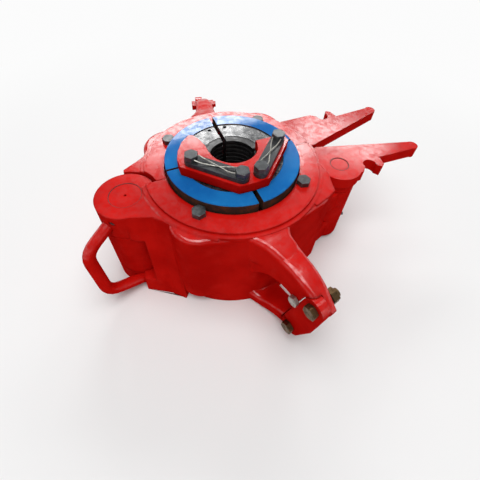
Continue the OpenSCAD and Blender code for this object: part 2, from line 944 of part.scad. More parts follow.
// Wedge segment of a slip: its back matches the bowl when the slip is set.
module slip_wedge(q) {
    a = slip_mid_angle[q];
    lift = [lift_r * cos(a), lift_r * sin(a), lift_z];
    neck_r = flange_in_r - 2 * slip_clear;
    color(BLACK) difference() {
        intersection() {
            union() {
                translate(lift)
                    rotate_extrude()
                        wedge_profile();
                translate([0, 0, flange_z - eps])
                    cylinder(r = neck_r, h = wedge_top - flange_z + eps);
            }
            slip_quarter(q);
        }
        cylinder(r = pipe_r + wedge_relief, h = far);
        die_space(a, pipe_r + die_t + seat_fit);
        lifting_eye(q);
        strap_bolt_holes(q);
    }
}

// Space of a die in its wedge: a sector above the die's foot.
module die_space(a, r) {
    half = die_half_angle;
    rotate([0, 0, a])
        translate([0, 0, die_foot])
            linear_extrude(far)
                intersection() {
                    circle(r = r);
                    polygon([[0, 0], ray(-half, 2 * r), [2 * r, 0], ray(half, 2 * r)]);
                }
}

// Toothed die of a slip.
module slip_die(q) {
    a = slip_mid_angle[q];
    r_out = pipe_r + die_t;
    top = wedge_top - die_drop;
    pitch = tooth_land + tooth_groove;
    teeth = floor((top - die_foot - tooth_land) / pitch);
    groove_depth = 3;
    color(BLACK) intersection() {
        rotate_extrude()
            difference() {
                translate([pipe_r, die_foot + seat_fit])
                    square([die_t - seat_fit, top - die_foot - seat_fit]);
                for (k = [0 : teeth - 1])
                    translate([pipe_r - eps, die_foot + tooth_land + k * pitch])
                        square([groove_depth + eps, tooth_groove]);
            }
        die_space_core(a, r_out);
    }
}

// Sector that a die fills, a seat clearance inside its space.
module die_space_core(a, r) {
    half = die_half_angle - die_seat_turn;
    rotate([0, 0, a])
        linear_extrude(far)
            polygon([[0, 0], ray(-half, 2 * r), [2 * r, 0], ray(half, 2 * r)]);
}

// Lift springs under one slip flange.
module lift_springs(q) {
    wire_r = 1.3;
    play = 0.8;
    turns = 6;
    steps = 12;
    sides = 6;
    coil_r = pocket_r - wire_r - play;
    z0 = bowl_top - pocket_depth + wire_r + seat_fit;
    z1 = flange_z - wire_r - seat_fit;
    color(STEEL) at_springs(slip_mid_angle[q])
        bar(helix(coil_r, z0, z1 - z0, turns, steps), wire_r, sides);
}

// Places children at the two bolts of strap i.
module at_strap_bolts(i) {
    for (side = [-1, 1])
        rotate([0, 0, strap_mid[i] + side * strap_spread / 2])
            translate([strap_bolt_r, 0, 0])
                children();
}

// Threaded holes for the strap bolts in a front slip.
module strap_bolt_holes(q) {
    if (q >= 2)
        at_strap_bolts(q - 2)
            translate([0, 0, wedge_top - strap_thread])
                cylinder(r = thread_r + seat_fit, h = strap_thread + eps);
}

// Outline of the setting plate: slanted edges along the straps, a long arm on the hinge side.
module plate_outline() {
    slant = plate_edge * sqrt(2);
    side_x = 114;
    nose_x = 30;
    nose_tip = 2;
    arm_out = [[-107, 22], [-92, 47]];
    arm_tip = [-71, 54];
    arm_tip_r = 9;
    arm_in = [[-57, 44], [-mouth_r - eps, 20]];
    front = [
        [side_x, 0], [side_x, side_x - slant], [nose_x, nose_x - slant], [0, nose_x - slant - nose_tip],
        [-nose_x, nose_x - slant], [-side_x, side_x - slant], [-side_x, 0]
    ];
    difference() {
        polygon(concat(front, arm_out, arc(arm_tip, arm_tip_r, 150, 10, 6), arm_in, [[-mouth_r - eps, 0]]));
        circle(r = mouth_r);
    }
}

// U-shaped setting plate over the front slips.
module setting_plate() {
    slot_play = 4;
    color(RED) difference() {
        translate([0, 0, plate_z])
            linear_extrude(plate_t)
                plate_outline();
        for (i = [0, 1])
            at_strap_bolts(i)
                translate([0, 0, plate_z - eps])
                    cylinder(r = thread_r + slot_play, h = plate_t + 2 * eps);
    }
}

// Strap that holds the plate down on one front slip.
module strap(i) {
    length = 2 * strap_bolt_r * sin(strap_spread / 2);
    color(BLACK) difference() {
        rotate([0, 0, strap_mid[i]])
            translate([strap_bolt_r * cos(strap_spread / 2), 0, strap_z]) {
                translate([-strap_w / 2, -length / 2, 0])
                    cube([strap_w, length, strap_t]);
                for (y = [-1, 1])
                    translate([0, y * length / 2, 0])
                        cylinder(d = strap_w, h = strap_t);
            }
        at_strap_bolts(i)
            translate([0, 0, strap_z - eps])
                cylinder(r = thread_r + seat_fit, h = strap_t + 2 * eps);
    }
}

module strap_bolts(i) {
    length = strap_z + strap_t - wedge_top + strap_thread - thread_spare;
    color(BLACK) at_strap_bolts(i)
        translate([0, 0, strap_z + strap_t])
            hex_screw(length, head = screw_head + 1);
}

// Two crossed strands of lock wire between the heads of a strap's bolts.
module lock_wire(i) {
    z = strap_z + strap_t;
    reach = strap_bolt_r * sin(strap_spread / 2) - screw_af / 2 - wire_d;
    spread = 8;
    overlap = 4;
    low = wire_d / 2 + 0.3;
    sag = low + 2;
    high = screw_head / 2 + 1;
    // Distance from the crossing, offset and level of a strand, as shares of reach and spread.
    function strand(over) = [[0.3, 0.3, low + over], [0.7, 0.8, sag], [1 + overlap / reach, 1, high]];
    function half_strand(side, end, over) =
        [for (p = strand(over)) [end * side * spread * p[1], end * reach * p[0], p[2]]];
    color(STEEL)
        rotate([0, 0, strap_mid[i]])
            translate([strap_bolt_r * cos(strap_spread / 2), 0, z])
                for (side = [-1, 1])
                    let (over = side > 0 ? wire_d : 0)
                    let (near = half_strand(side, -1, over))
                        bar(concat([near[2], near[1], near[0]], half_strand(side, 1, over)), wire_d / 2);
}

module top_screws(side) {
    color(BLACK)
        for (a = [45, 135])
            rotate([0, 0, side * a])
                translate([screw_circle_r, 0, body_h])
                    rotate([0, 0, quadrant / 3])
                        hex_screw(top_screw_l - thread_spare);
}

// Link block that closes the outer end of an ear's window, in the ear's own place.
// Its lower end has a slot, open inwards, that lets it swing off the lock bolt.
module link_block_shape() {
    slot = screw_d + 1;
    bulge = 7;
    steps = 16;
    turn = atan2(block_d[1], block_d[0]);
    down = turn + 2 * quadrant;
    slot_end = down + asin(slot / 2 / block_len);
    slot_mouth = down - atan(2 * block_r / block_len);
    middle = (block_up + block_low) / 2;
    translate([-lap_gap, 0, 0])
        beside_ear(block_t)
            difference() {
                polygon(concat(
                    arc(block_up, block_r, turn - quadrant, turn + quadrant, steps),
                    arc(block_low, block_r, down - quadrant, down + quadrant, steps),
                    [middle + block_n * (block_r + bulge)]));
                translate(block_up)
                    circle(r = thread_r + run_fit);
                polygon(concat(
                    arc(block_up, block_len + slot / 2, slot_end, slot_mouth, steps),
                    arc(block_up, block_len - slot / 2, slot_mouth, slot_end, steps)));
            }
}

module link_block(side) {
    color(RED) at_ear(side)
        link_block_shape();
}

// Bolt across an ear at a distance and level: head on the hinge side, nut on the latch side.
module cross_bolt(at, d, af, head_x, nut_x) {
    head_t = d * head_share;
    nut_t = d * nut_share;
    thread_end = 6;
    translate([-head_x, -at[0], at[1]])
        rotate([0, -90, 0])
            hex_screw(head_x + nut_x + nut_t + thread_end, d, af, head_t);
    translate([nut_x, -at[0], at[1]])
        rotate([0, 90, 0])
            cylinder(d = af / cos(30), h = nut_t, $fn = 6);
}

module link_hinge_bolt(side) {
    color(ZINC) at_ear(side)
        cross_bolt(block_up, screw_d, screw_af, block_t + lap_gap + face_gap, nose_nut_x);
}

module link_lock_bolt(side) {
    color(ZINC) at_ear(side)
        cross_bolt(block_low, screw_d, screw_af, block_t + lap_gap + face_gap, lug_nut_x);
}

module ear_bolt(side) {
    ear_bolt_af = 19;
    color(ZINC) at_ear(side)
        cross_bolt([ear_bolt_s, ear_bolt_z], 2 * ear_bolt_r, ear_bolt_af, ear_half_w, ear_half_w);
}

front_body_half();
back_body_half();
hinge_pin();
hinge_pin_lock_screw();
carry_handle();
latch();
latch_pin();
latch_pin_keeper();
latch_spring();
setting_plate();
top_screws(-1);  // front_top_screws
top_screws(1);  // back_top_screws
// Slip quarters counted from the latch's back quarter, against the clock.
SLIP_QUARTER = [2, 3, 1, 0];
for (i = [0 : 3]) {
    q = SLIP_QUARTER[i];
    slip_flange(q);
    slip_wedge(q);
    slip_die(q);
    lift_springs(q);
}
ENDS = ["left", "right"];
for (i = [0, 1]) {
    strap(i);
    strap_bolts(i);
    lock_wire(i);
}
FACES = ["front", "back"];
for (i = [0, 1]) {
    side = 2 * i - 1;
    link_block(side);
    link_hinge_bolt(side);
    link_lock_bolt(side);
    ear_bolt(side);
}
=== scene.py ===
"""Looks of a hinged wedge-type drill pipe elevator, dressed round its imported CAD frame.

Lengths are in metres in the frame's own axes.
Z goes up the bore, X towards the latch and -Y towards the front half.
"""

import json
import logging
import math
from dataclasses import dataclass
from enum import Enum
from typing import Dict, List, Optional, Sequence, Tuple, Union

import bmesh
import bpy
from mathutils import Matrix, Vector

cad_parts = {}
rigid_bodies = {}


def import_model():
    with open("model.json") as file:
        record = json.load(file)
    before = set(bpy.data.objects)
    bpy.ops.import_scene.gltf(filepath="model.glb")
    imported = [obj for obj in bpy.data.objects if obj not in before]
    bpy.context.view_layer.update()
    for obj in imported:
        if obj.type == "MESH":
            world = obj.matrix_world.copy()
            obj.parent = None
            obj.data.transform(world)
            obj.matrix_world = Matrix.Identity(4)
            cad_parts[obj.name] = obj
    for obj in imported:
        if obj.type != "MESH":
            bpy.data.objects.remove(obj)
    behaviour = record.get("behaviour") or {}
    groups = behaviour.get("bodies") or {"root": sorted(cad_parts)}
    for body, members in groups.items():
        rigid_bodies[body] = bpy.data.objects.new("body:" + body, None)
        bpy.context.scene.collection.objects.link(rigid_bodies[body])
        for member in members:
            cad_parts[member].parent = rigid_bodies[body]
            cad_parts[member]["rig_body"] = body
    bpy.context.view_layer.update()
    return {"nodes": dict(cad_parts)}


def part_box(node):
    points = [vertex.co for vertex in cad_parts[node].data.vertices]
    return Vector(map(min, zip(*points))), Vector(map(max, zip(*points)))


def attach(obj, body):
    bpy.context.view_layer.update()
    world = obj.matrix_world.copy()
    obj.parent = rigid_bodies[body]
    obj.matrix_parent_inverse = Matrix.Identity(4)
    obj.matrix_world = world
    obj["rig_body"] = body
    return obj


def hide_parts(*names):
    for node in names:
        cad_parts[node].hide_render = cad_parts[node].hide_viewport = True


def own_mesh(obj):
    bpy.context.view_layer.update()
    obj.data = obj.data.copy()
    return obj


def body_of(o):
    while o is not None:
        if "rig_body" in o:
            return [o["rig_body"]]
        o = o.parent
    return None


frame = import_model()

log = logging.getLogger("elevator")
Piece = bpy.types.Object
Material = bpy.types.Material
World = bpy.types.World
Pair = Tuple[float, float]
Triple = Tuple[float, float, float]
Colour = Triple
SLIP_SIDES = ("front_left", "front_right", "back_left", "back_right")
FACES = ("front", "back")
HANDS = ("left", "right")
UP = (0.0, 0.0, 1.0)
WHITE: Colour = (1.0, 1.0, 1.0)
EAR_TILT = 12.0  # degrees towards the latch
GAP_SHADE_PROUD = 0.25  # share of the painted shade line's radius by which it stands over its pin


class Expr:
    """An output socket whose arithmetic adds Math nodes to its graph."""

    def __init__(self, graph: "Graph", socket: Optional[bpy.types.NodeSocket]) -> None:
        """Wraps one output socket of a graph's node."""
        self.graph = graph
        self.socket = socket

    def _math(self, operation: str, first: "Operand", second: "Operand") -> "Expr":
        """Adds a Math node.

        Args:
            operation: the Math node's operation.
            first: its upper operand.
            second: its lower operand.

        Returns:
            The node's result.
        """
        return self.graph.node("ShaderNodeMath", {"operation": operation}, {0: first, 1: second})

    def __add__(self, other: "Operand") -> "Expr":
        """Sum of this value and another."""
        return self._math("ADD", self, other)

    __radd__ = __add__

    def __sub__(self, other: "Operand") -> "Expr":
        """This value less another."""
        return self._math("SUBTRACT", self, other)

    def __rsub__(self, other: "Operand") -> "Expr":
        """Another value less this one."""
        return self._math("SUBTRACT", other, self)

    def __mul__(self, other: "Operand") -> "Expr":
        """Product of this value and another."""
        return self._math("MULTIPLY", self, other)

    __rmul__ = __mul__


Operand = Union[Expr, float]
Sockets = Dict[Union[int, str], Union[Expr, float, Colour]]


@dataclass(frozen=True)
class Grain:
    """Random pattern on a surface.

    Attributes:
        scale: cells in a metre.
        detail: octaves.
        roughness: weight of the finer octaves.
        span: values between which its patches rise from 0 to 1.
    """

    scale: float
    detail: float = 3.0
    roughness: float = 0.55
    span: Pair = (0.4, 0.6)


class Graph:
    """Node tree of one material or world.

    Attributes:
        bevel_samples: rays of a rounded normal.
        crevice_samples: rays of a corner's shade.
        edge_turn: turns of the rounded normal between which an edge's value rises.
    """

    bevel_samples: int = 6
    crevice_samples: int = 8
    edge_turn: Pair = (0.01, 0.2)

    def __init__(self, owner: Union[Material, World], output: str = "ShaderNodeOutputMaterial") -> None:
        """Empties the tree.

        Args:
            owner: the new material or world.
            output: type name of its output node.
        """
        self.owner = owner
        self.owner.use_nodes = True
        self.output = output
        self.tree = self.owner.node_tree
        self.tree.nodes.clear()

    def node(
        self,
        kind: str,
        settings: Optional[Dict[str, object]] = None,
        sockets: Optional[Sockets] = None,
        out: Union[int, str] = 0,
    ) -> Expr:
        """Adds any node.

        Args:
            kind: the node's type name.
            settings: its own settings, set before the sockets.
            sockets: values or links of its input sockets, by name or number.
            out: the output socket to hand back.

        Returns:
            The chosen output, or an empty one for a node that has none.
        """
        made = self.tree.nodes.new(kind)
        for name, value in (settings or {}).items():
            setattr(made, name, value)
        for key, value in (sockets or {}).items():
            if isinstance(value, Expr):
                self.tree.links.new(value.socket, made.inputs[key])
            elif isinstance(value, tuple):
                made.inputs[key].default_value = (*value, 1.0)
            else:
                made.inputs[key].default_value = value
        return Expr(self, made.outputs[out] if len(made.outputs) else None)

    def place(self) -> Expr:
        """Position on the piece, in metres."""
        return self.node("ShaderNodeTexCoord", out="Object")

    def part(self, vector: Expr, axis: int) -> Expr:
        """One component of a vector."""
        return self.node("ShaderNodeSeparateXYZ", {}, {0: vector}, axis)

    def upward(self) -> Expr:
        """How far the surface looks up, in the piece's own axes."""
        return self.part(self.node("ShaderNodeTexCoord", out="Normal"), 2)

    def noise(self, grain: Grain) -> Expr:
        """Smooth random value about 0.5.

        Args:
            grain: the pattern.

        Returns:
            The noise value.
        """
        sockets = {"Scale": grain.scale, "Detail": grain.detail, "Roughness": grain.roughness}
        return self.node("ShaderNodeTexNoise", {}, {"Vector": self.place(), **sockets})

    def patches(self, grain: Grain) -> Expr:
        """Pattern stepped to patches from 0 to 1."""
        return self.ramp(self.noise(grain), *grain.span)

    def ramp(self, value: Expr, low: float, high: float) -> Expr:
        """Smooth step from 0 at low to 1 at high."""
        settings = {"interpolation_type": "SMOOTHSTEP"}
        return self.node("ShaderNodeMapRange", settings, {0: value, 1: low, 2: high, 3: 0.0, 4: 1.0})

    def shown(self) -> Expr:
        """Tells rays that show a thing, straight on or by a reflection, from rays of light.

        Returns:
            1 for a ray that shows a thing and 0 for one that lights it.
        """
        kinds = ("Camera", "Glossy", "Transmission")
        camera, glossy, clear = (self.node("ShaderNodeLightPath", out=f"Is {kind} Ray") for kind in kinds)
        return self.ramp(camera + glossy + clear, 0.0, 1.0)

    def mix(self, factor: Operand, first: Union[Expr, Colour], second: Union[Expr, Colour]) -> Expr:
        """Colour between two others, by a factor from 0 to 1."""
        return self.node("ShaderNodeMix", {"data_type": "RGBA"}, {0: factor, 6: first, 7: second}, 2)

    def soft_normal(self, radius: float) -> Expr:
        """Normal that rounds every sharp edge by a radius."""
        return self.node("ShaderNodeBevel", {"samples": self.bevel_samples}, {"Radius": radius})

    def edge(self, radius: float) -> Expr:
        """Tells edges from flat faces.

        Args:
            radius: rounding of the edges.

        Returns:
            A value that rises from 0 on a flat face to 1 close to an edge.
        """
        flat = self.node("ShaderNodeNewGeometry", out="Normal")
        sockets = {0: self.soft_normal(radius), 1: flat}
        cosine = self.node("ShaderNodeVectorMath", {"operation": "DOT_PRODUCT"}, sockets, 1)
        return self.ramp(1.0 - cosine, *self.edge_turn)

    def crevice(self, reach: float) -> Expr:
        """Value that rises from 0 on an open face to 1 in a corner."""
        settings = {"samples": self.crevice_samples}
        return 1.0 - self.node("ShaderNodeAmbientOcclusion", settings, {"Distance": reach}, 1)

    def bump(self, height: Expr, depth: float, normal: Expr) -> Expr:
        """Normal tilted by a height from 0 to 1, whose real depth is in metres."""
        return self.node("ShaderNodeBump", {}, {"Distance": depth, "Height": height, "Normal": normal})

    def finish(self, sockets: Sockets) -> Material:
        """Closes the tree with a Principled shader.

        Args:
            sockets: values or links of the shader's sockets.

        Returns:
            The finished material.
        """
        return self.close(self.node("ShaderNodeBsdfPrincipled", {}, sockets))

    def close(self, shader: Expr) -> Union[Material, World]:
        """Closes the tree.

        Args:
            shader: what goes to the tree's output.

        Returns:
            The finished material or world.
        """
        self.node(self.output, {}, {"Surface": shader})
        return self.owner


@dataclass(frozen=True)
class Enamel:
    """Glossy paint brushed over a casting.

    Attributes:
        name: material name.
        colour: the paint in the open.
        deep: the paint where it lies thick, and the painted shade in a corner.
        chalk: the paint where weather has dulled it.
        rough: roughness of a clean stretch.
        edge_r: rounding of the painted edges.
        cast_depth: depth of the casting's unevenness under the paint.
        sheen: specular level of the paint.
        coat: weight of the gloss coat on faces that look up.
        side_coat: share of that weight on upright faces, where the paint ran thin.
        speck: colour of the grime specks.
        coat_rough: roughness of the gloss coat.
        coat_ior: its refractive index.
        mottle: slow change from the paint's colour to its deep colour.
        cloud: dulled clouds.
        worn_span: values of the clouds between which an edge is dulled.
        peel: fine ripple of the dried paint.
        grit: grime specks.
        grit_area: stretches where the specks lie.
        streaks: broken gloss.
        level_span: how far up a face looks, from no gloss to full gloss.
        corner_reach: size of a corner whose paint is darkened as painted shade.
        corner_span: values of a corner between which the painted shade deepens the paint.
        dull_span: values of a corner between which the gloss is lost.
        shares: how far chalk, worn edges, the painted shade in corners and specks change the colour.
        relief: heights of the clouds, the peel, the mottle and the specks.
        haze: roughness that the clouds and the specks add.
        gloss: least gloss, what the streaks add, and what specks and corners take.
    """

    name: str
    colour: Colour
    deep: Colour
    chalk: Colour
    rough: float = 0.3
    edge_r: float = 0.003
    cast_depth: float = 0.0012
    sheen: float = 0.0
    coat: float = 0.9
    side_coat: float = 0.01
    speck: Colour = (0.05, 0.012, 0.01)
    coat_rough: float = 0.18
    coat_ior: float = 1.7
    mottle: Grain = Grain(11.0, 4.0, span=(0.35, 0.68))
    cloud: Grain = Grain(34.0, 5.0, 0.6, (0.52, 0.78))
    worn_span: Pair = (0.3, 0.6)
    peel: Grain = Grain(520.0, 2.0)
    grit: Grain = Grain(330.0, 2.0, 0.7, (0.70, 0.76))
    grit_area: Grain = Grain(23.0, 3.0, span=(0.46, 0.62))
    streaks: Grain = Grain(85.0, 6.0, 0.72, (0.40, 0.60))
    level_span: Pair = (0.3, 0.8)
    corner_reach: float = 0.02
    corner_span: Pair = (0.35, 0.95)
    dull_span: Pair = (0.3, 0.9)
    shares: Tuple[float, float, float, float] = (0.35, 0.30, 0.75, 0.85)
    relief: Tuple[float, float, float, float] = (0.75, 0.06, 0.5, 0.25)
    haze: Pair = (0.16, 0.3)
    gloss: Tuple[float, float, float, float] = (0.5, 0.75, 0.6, 0.5)

    def paint(self, graph: Graph) -> Sockets:
        """Lays the paint.

        Args:
            graph: the material's node tree.

        Returns:
            Values and links for the shader's sockets.
        """
        mottle = graph.noise(self.mottle)
        cloud = graph.noise(self.cloud)
        corner = graph.crevice(self.corner_reach)
        edge = graph.edge(self.edge_r)
        level = self.side_coat + (1.0 - self.side_coat) * graph.ramp(graph.upward(), *self.level_span)
        specks = graph.patches(self.grit) * graph.patches(self.grit_area)
        by_chalk, by_edge, by_corner, by_speck = self.shares
        colour = graph.mix(graph.ramp(mottle, *self.mottle.span), self.colour, self.deep)
        colour = graph.mix(graph.ramp(cloud, *self.cloud.span) * by_chalk, colour, self.chalk)
        colour = graph.mix(edge * graph.ramp(cloud, *self.worn_span) * by_edge, colour, self.chalk)
        # Painted shade: ambient occlusion turns the paint to its deep colour in corners.
        colour = graph.mix(graph.ramp(corner, *self.corner_span) * by_corner, colour, self.deep)
        colour = graph.mix(specks * by_speck, colour, self.speck)
        least, added, speck_loss, corner_loss = self.gloss
        streaks = (least + added * graph.patches(self.streaks)) * (1.0 - speck_loss * specks)
        dulled = 1.0 - corner_loss * graph.ramp(corner, *self.dull_span)
        cloud_h, peel_h, mottle_h, speck_h = self.relief
        relief = cloud_h * cloud + peel_h * graph.noise(self.peel) + mottle_h * mottle - speck_h * specks
        cloud_haze, speck_haze = self.haze
        return {
            "Base Color": colour,
            "Roughness": self.rough + cloud_haze * cloud + speck_haze * specks,
            "Specular IOR Level": self.sheen,
            "Coat Weight": self.coat * level * streaks * dulled,
            "Coat Roughness": self.coat_rough,
            "Coat IOR": self.coat_ior,
            "Normal": graph.bump(relief, self.cast_depth, graph.soft_normal(self.edge_r)),
        }

    def build(self) -> Material:
        """Makes the material."""
        graph = Graph(bpy.data.materials.new(self.name))
        return graph.finish(self.paint(graph))


@dataclass(frozen=True)
class FlangeEnamel(Enamel):
    """Enamel on the top of the slip flanges, with bare turned steel on their rims.

    Attributes:
        bare: the rim's steel.
        rust: stains on the rim.
        stain: pattern of those stains.
        rim: how far up a rim looks, where the steel ends and where the paint is whole.
        chips: broken edge of the paint.
        chip_depth: how far the chips move that edge.
        rim_rough: roughness that bare steel adds.
        wet: places along Y from which the gloss starts to be wet with oil and is wet.
        drops: broken edge of the oil.
        drop_run: how far the drops move that edge, in metres.
        dry_gloss: share of the gloss where it is dry.
    """

    bare: Colour = (0.05, 0.032, 0.025)
    rust: Colour = (0.11, 0.045, 0.025)
    stain: Grain = Grain(60.0, 5.0, 0.65, (0.42, 0.66))
    rim: Pair = (0.5, 0.7)
    chips: Grain = Grain(90.0)
    chip_depth: float = 0.25
    rim_rough: float = 0.2
    wet: Pair = (-1.0, -0.9)
    drops: Grain = Grain(40.0)
    drop_run: float = 0.03
    dry_gloss: float = 0.06

    def build(self) -> Material:
        """Makes the material.

        Returns:
            The finished material.
        """
        graph = Graph(bpy.data.materials.new(self.name))
        sockets = self.paint(graph)
        steel = graph.mix(graph.patches(self.stain), self.bare, self.rust)
        side = 1.0 - graph.ramp(graph.upward() + self.chip_depth * graph.noise(self.chips), *self.rim)
        along = graph.part(graph.place(), 1)
        wet = graph.ramp(along + self.drop_run * graph.noise(self.drops), *self.wet)
        oiled = self.dry_gloss + (1.0 - self.dry_gloss) * wet
        sockets["Base Color"] = graph.mix(side, sockets["Base Color"], steel)
        sockets["Coat Weight"] = sockets["Coat Weight"] * (1.0 - side) * oiled
        sockets["Roughness"] = sockets["Roughness"] + self.rim_rough * side
        return graph.finish(sockets)


@dataclass(frozen=True)
class OiledSteel:
    """Black steel under a broken film of oil.

    Attributes:
        name: material name.
        colour: the steel in the open.
        worn: the steel where it is rubbed.
        metal: share of bare metal.
        rough: roughness of an oiled patch.
        dry_rough: roughness of a dry patch.
        ripple: depth of the surface's ripple.
        edge_r: rounding of the edges.
        oil: weight of the oil film where it is unbroken.
        film_rough: roughness of the film.
        film_ior: its refractive index.
        pit: colour in the pits.
        dry: pattern of the dry patches.
        pits: pattern of the pits.
        wave: ripple under the film.
        shares: how far dry patches, edges and pits change the colour.
        edge_metal: metal that a rubbed edge adds.
        pit_rough: roughness that the pits add.
        film_loss: what dry patches and pits take from the film.
        pit_depth: depth of the pits as a share of the ripple.
    """

    name: str
    colour: Colour
    worn: Colour
    metal: float = 0.4
    rough: float = 0.16
    dry_rough: float = 0.5
    ripple: float = 0.0009
    edge_r: float = 0.0015
    oil: float = 0.3
    film_rough: float = 0.15
    film_ior: float = 1.7
    pit: Colour = (0.012, 0.012, 0.013)
    dry: Grain = Grain(70.0, 6.0, 0.68, (0.40, 0.62))
    pits: Grain = Grain(420.0, 3.0, 0.7, (0.58, 0.72))
    wave: Grain = Grain(95.0, 5.0, 0.62)
    shares: Triple = (0.6, 0.7, 0.6)
    edge_metal: float = 0.4
    pit_rough: float = 0.2
    film_loss: Pair = (0.6, 0.4)
    pit_depth: float = 0.4

    def build(self) -> Material:
        """Makes the material.

        Returns:
            The finished material.
        """
        graph = Graph(bpy.data.materials.new(self.name))
        dry = graph.patches(self.dry)
        pits = graph.patches(self.pits)
        edge = graph.edge(self.edge_r)
        by_dry, by_edge, by_pits = self.shares
        colour = graph.mix(dry * by_dry, self.colour, self.worn)
        colour = graph.mix(edge * by_edge, colour, self.worn)
        colour = graph.mix(pits * by_pits, colour, self.pit)
        dry_loss, pit_loss = self.film_loss
        relief = graph.noise(self.wave) - self.pit_depth * pits
        return graph.finish({
            "Base Color": colour,
            "Metallic": self.metal + self.edge_metal * edge,
            "Roughness": self.rough + (self.dry_rough - self.rough) * dry + self.pit_rough * pits,
            "Coat Weight": self.oil * (1.0 - dry_loss * dry - pit_loss * pits),
            "Coat Roughness": self.film_rough,
            "Coat IOR": self.film_ior,
            "Normal": graph.bump(relief, self.ripple, graph.soft_normal(self.edge_r)),
        })


@dataclass(frozen=True)
class Plated:
    """Plated or drawn steel of bolts and wire.

    Attributes:
        name: material name.
        colour: the plating.
        tarnish: dulled patches.
        corner_shade: painted shade in the corners.
        rough: roughness of bright plating.
        dull: pattern of the dulled patches.
        scratch: fine scratches.
        corner_reach: size of a corner that is painted in shade.
        corner_span: values of a corner between which the painted shade rises.
        wear_r: width of the rubbed edges.
        edge_r: rounding of the edges.
        shares: how far rubbed edges and the painted corner shade change the colour.
        shade_metal_loss: metal that the painted corner shade hides.
        haze: roughness that dulled patches and scratches add.
        scratch_depth: depth of the scratches.
    """

    name: str
    colour: Colour
    tarnish: Colour
    corner_shade: Colour = (0.05, 0.045, 0.035)
    rough: float = 0.3
    dull: Grain = Grain(130.0, 4.0, 0.6, (0.42, 0.68))
    scratch: Grain = Grain(700.0, 3.0)
    corner_reach: float = 0.006
    corner_span: Pair = (0.3, 0.9)
    wear_r: float = 0.001
    edge_r: float = 0.0008
    shares: Pair = (0.5, 0.7)
    shade_metal_loss: float = 0.6
    haze: Pair = (0.25, 0.1)
    scratch_depth: float = 0.00025

    def build(self) -> Material:
        """Makes the material.

        Returns:
            The finished material.
        """
        graph = Graph(bpy.data.materials.new(self.name))
        dull = graph.patches(self.dull)
        scratch = graph.noise(self.scratch)
        # Painted shade: ambient occlusion darkens the colour and takes the metal away in corners.
        corner = graph.ramp(graph.crevice(self.corner_reach), *self.corner_span)
        by_edge, by_corner_shade = self.shares
        colour = graph.mix(dull, self.colour, self.tarnish)
        colour = graph.mix(graph.edge(self.wear_r) * by_edge, colour, self.colour)
        colour = graph.mix(corner * by_corner_shade, colour, self.corner_shade)
        dull_haze, scratch_haze = self.haze
        return graph.finish({
            "Base Color": colour,
            "Metallic": 1.0 - self.shade_metal_loss * corner,
            "Roughness": self.rough + dull_haze * dull + scratch_haze * scratch,
            "Normal": graph.bump(scratch, self.scratch_depth, graph.soft_normal(self.edge_r)),
        })


# Each paint in the open, where it lies thick and in the painted shade of corners, and where it is dulled.
RED_PAINT = (0.58, 0.007, 0.0045), (0.44, 0.0035, 0.002), (0.62, 0.022, 0.017)
BLUE_PAINT = (0.010, 0.15, 0.42), (0.006, 0.10, 0.34), (0.03, 0.22, 0.50)
BLUE_SPECK = (0.01, 0.02, 0.05)


class Finish(Enum):
    """Every finish on the elevator."""

    RED = Enamel("red_enamel", *RED_PAINT)
    CAST_RED = Enamel("red_casting", *RED_PAINT, edge_r=0.006, cast_depth=0.0015)
    BLUE = FlangeEnamel(
        "blue_enamel", *BLUE_PAINT, rough=0.4, edge_r=0.0012, cast_depth=0.0005, coat=0.08, speck=BLUE_SPECK,
    )
    OILED_BLUE = FlangeEnamel(
        "oiled_blue_enamel", *BLUE_PAINT, edge_r=0.0012, cast_depth=0.0003, coat=1.0, speck=BLUE_SPECK,
        wet=(0.08, 0.122),
    )
    SLIP = OiledSteel(
        "oiled_slip_steel", (0.014, 0.015, 0.017), (0.045, 0.047, 0.052), metal=0.3, ripple=0.0012, oil=1.0,
    )
    DIE = OiledSteel(
        "die_steel", (0.010, 0.010, 0.011), (0.035, 0.034, 0.033),
        metal=0.3, rough=0.3, dry_rough=0.6, ripple=0.0005,
    )
    STRAP = OiledSteel(
        "strap_steel", (0.022, 0.023, 0.025), (0.06, 0.063, 0.066),
        metal=0.5, rough=0.3, dry_rough=0.55, ripple=0.0004, oil=0.1,
    )
    SCREW = OiledSteel(
        "screw_steel", (0.035, 0.038, 0.040), (0.12, 0.13, 0.135),
        metal=0.55, rough=0.28, dry_rough=0.55, ripple=0.0003,
    )
    # Painted shade: dark red line standing in the gaps round the pin tops.
    GAP_SHADE = OiledSteel(
        "painted_gap_shade", (0.05, 0.008, 0.006), (0.09, 0.02, 0.015),
        metal=0.0, rough=0.4, dry_rough=0.6, ripple=0.0002, oil=0.1,
    )
    ZINC = Plated("olive_zinc", (0.15, 0.095, 0.045), (0.075, 0.048, 0.024))
    WIRE = Plated("dull_wire", (0.45, 0.44, 0.40), (0.26, 0.25, 0.22))


class Wardrobe:
    """Finishes made so far, so that pieces share them."""

    def __init__(self) -> None:
        """Starts with no material made."""
        self.made: Dict[Finish, Material] = {}

    def dress(self, piece: Piece, finish: Finish) -> None:
        """Gives a piece its finish.

        Args:
            piece: the object to dress.
            finish: the finish it takes.
        """
        if finish not in self.made:
            self.made[finish] = finish.value.build()
        piece.data.materials.clear()
        piece.data.materials.append(self.made[finish])
        log.info("dressed %s in %s", piece.name, finish.value.name)

    def dress_nodes(self, finish: Finish, *names: str) -> None:
        """Gives CAD nodes a finish, by name."""
        for name in names:
            self.dress(frame["nodes"][name], finish)


def circle(count: int) -> List[float]:
    """Angles that divide a full turn evenly."""
    return [2 * math.pi * k / count for k in range(count)]


def steps(first: float, last: float, count: int) -> List[float]:
    """Values from first to last in equal steps."""
    return [first + (last - first) * k / count for k in range(count + 1)]


